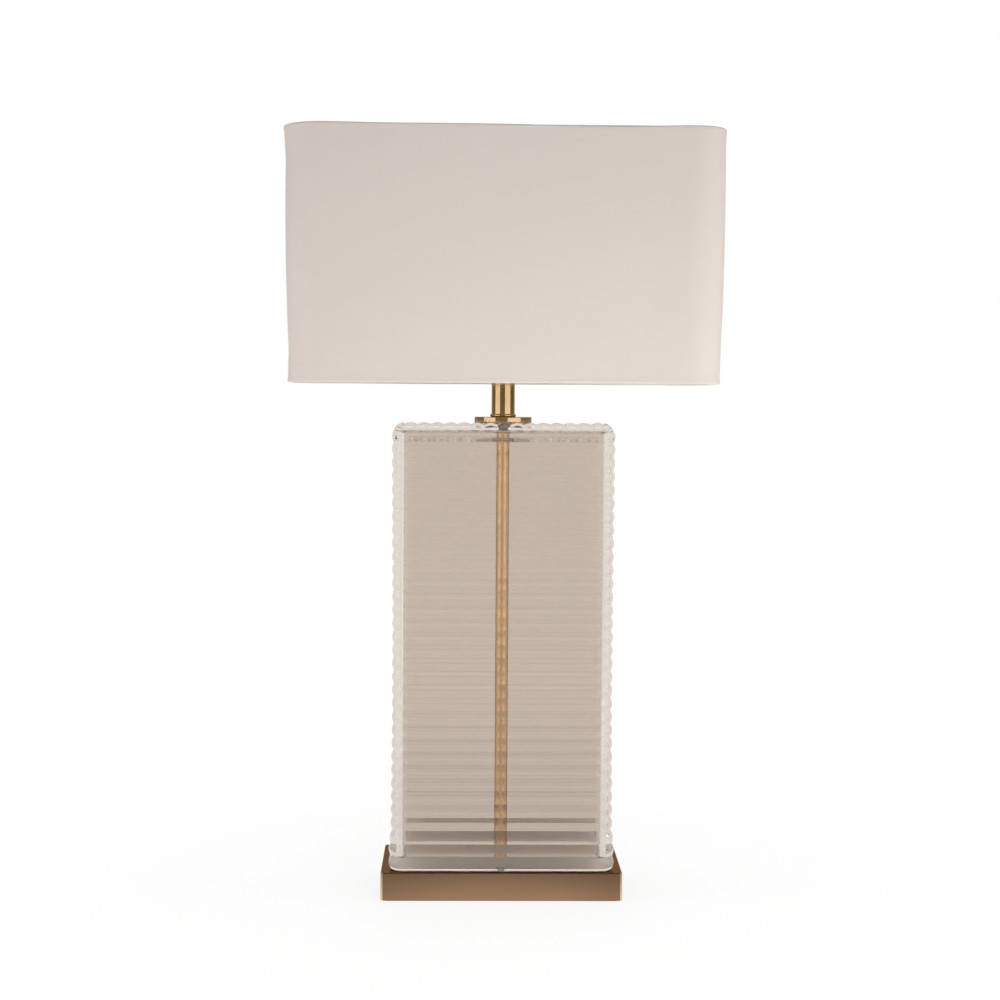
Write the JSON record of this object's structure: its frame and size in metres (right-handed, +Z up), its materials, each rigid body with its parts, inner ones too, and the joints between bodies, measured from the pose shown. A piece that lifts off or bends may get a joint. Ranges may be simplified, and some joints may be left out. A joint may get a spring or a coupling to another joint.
{
  "type": "column table lamp",
  "caption": "Table lamp with a hollow ribbed glass column on a brass plinth, a brass rod and neck, and a rounded rectangular cloth shade that turns on its lampholder.",
  "frame": {"origin": "middle of the footprint, on the surface that the lamp stands on", "axes": "+Z up, +X to the right across the wide front, -Y towards the viewer"},
  "size_m": [0.4, 0.2, 0.7126],
  "materials": {
    "antique_brass": "antique brass, satin, lacquered",
    "neck_brass": "polished brass, lacquered",
    "lampholder_brass": "satin",
    "contact_brass": "plain",
    "zinc_steel": "zinc plated",
    "cast_iron": "rough, painted",
    "felt": "felt",
    "rubber": "matt",
    "pale_silicone": "soft, translucent white",
    "nylon": "satin",
    "ribbed_glass": "clear, faintly warm, ribbed",
    "porcelain": "glazed",
    "bulb_white": "satin",
    "bulb_opal": "opal",
    "bulb_nickel": "nickel plated",
    "bulb_black_glass": "gloss",
    "bulb_board": "white lacquer",
    "shade_cloth": "plain weave on a stiff backing",
    "shade_wire": "white epoxy"
  },
  "bodies": {
    "lamp": {"base_plinth": "antique_brass", "rod_sleeve": "neck_brass", "top_disc": "neck_brass", "neck_collar": "neck_brass", "neck_tube": "neck_brass", "neck_plug": "neck_brass", "lampholder_cap": "lampholder_brass", "lampholder_shell": "lampholder_brass", "lampholder_screw_contact": "contact_brass", "lampholder_centre_contact": "contact_brass", "lampholder_terminals": "contact_brass", "neck_nut": "contact_brass", "base_cover": "zinc_steel", "base_cover_screws": "zinc_steel", "bottom_washer": "zinc_steel", "bottom_lock_washer": "zinc_steel", "bottom_nut": "zinc_steel", "threaded_rod": "zinc_steel", "neck_washer": "zinc_steel", "lampholder_grub_screw": "zinc_steel", "lampholder_terminal_screws": "zinc_steel", "base_weight": "cast_iron", "base_felt_pad": "felt", "inlet_grommet": "rubber", "lower_gasket": "pale_silicone", "upper_gasket": "pale_silicone", "glass_centring_bush": "nylon", "glass_body": "ribbed_glass", "lampholder_insert": "porcelain"},
    "shade": {"shade_panel": "shade_cloth", "shade_top_trim": "shade_cloth", "shade_bottom_trim": "shade_cloth", "shade_top_ring": "shade_wire", "shade_bottom_ring": "shade_wire", "shade_spider_arms": "shade_wire", "shade_fitter_ring": "shade_wire"},
    "shade_ring": {"shade_ring": "lampholder_brass"},
    "bulb": {"bulb_housing": "bulb_white", "bulb_diffuser": "bulb_opal", "bulb_cap": "bulb_nickel", "bulb_contact": "bulb_nickel", "bulb_insulator": "bulb_black_glass", "bulb_led_board": "bulb_board"}
  },
  "joints": [
    {"name": "shade_turn", "type": "hinge", "parent": "lamp", "child": "shade", "pos_m": [0, 0, 0.529], "axis": [0, 0, 1], "continuous": true},
    {"name": "shade_ring_unscrew", "type": "slide", "parent": "lamp", "child": "shade_ring", "axis": [0, 0, 1], "range_m": [0, 0.022]},
    {"name": "bulb_unscrew", "type": "slide", "parent": "lamp", "child": "bulb", "axis": [0, 0, 1], "range_m": [0, 0.024]}
  ]
}
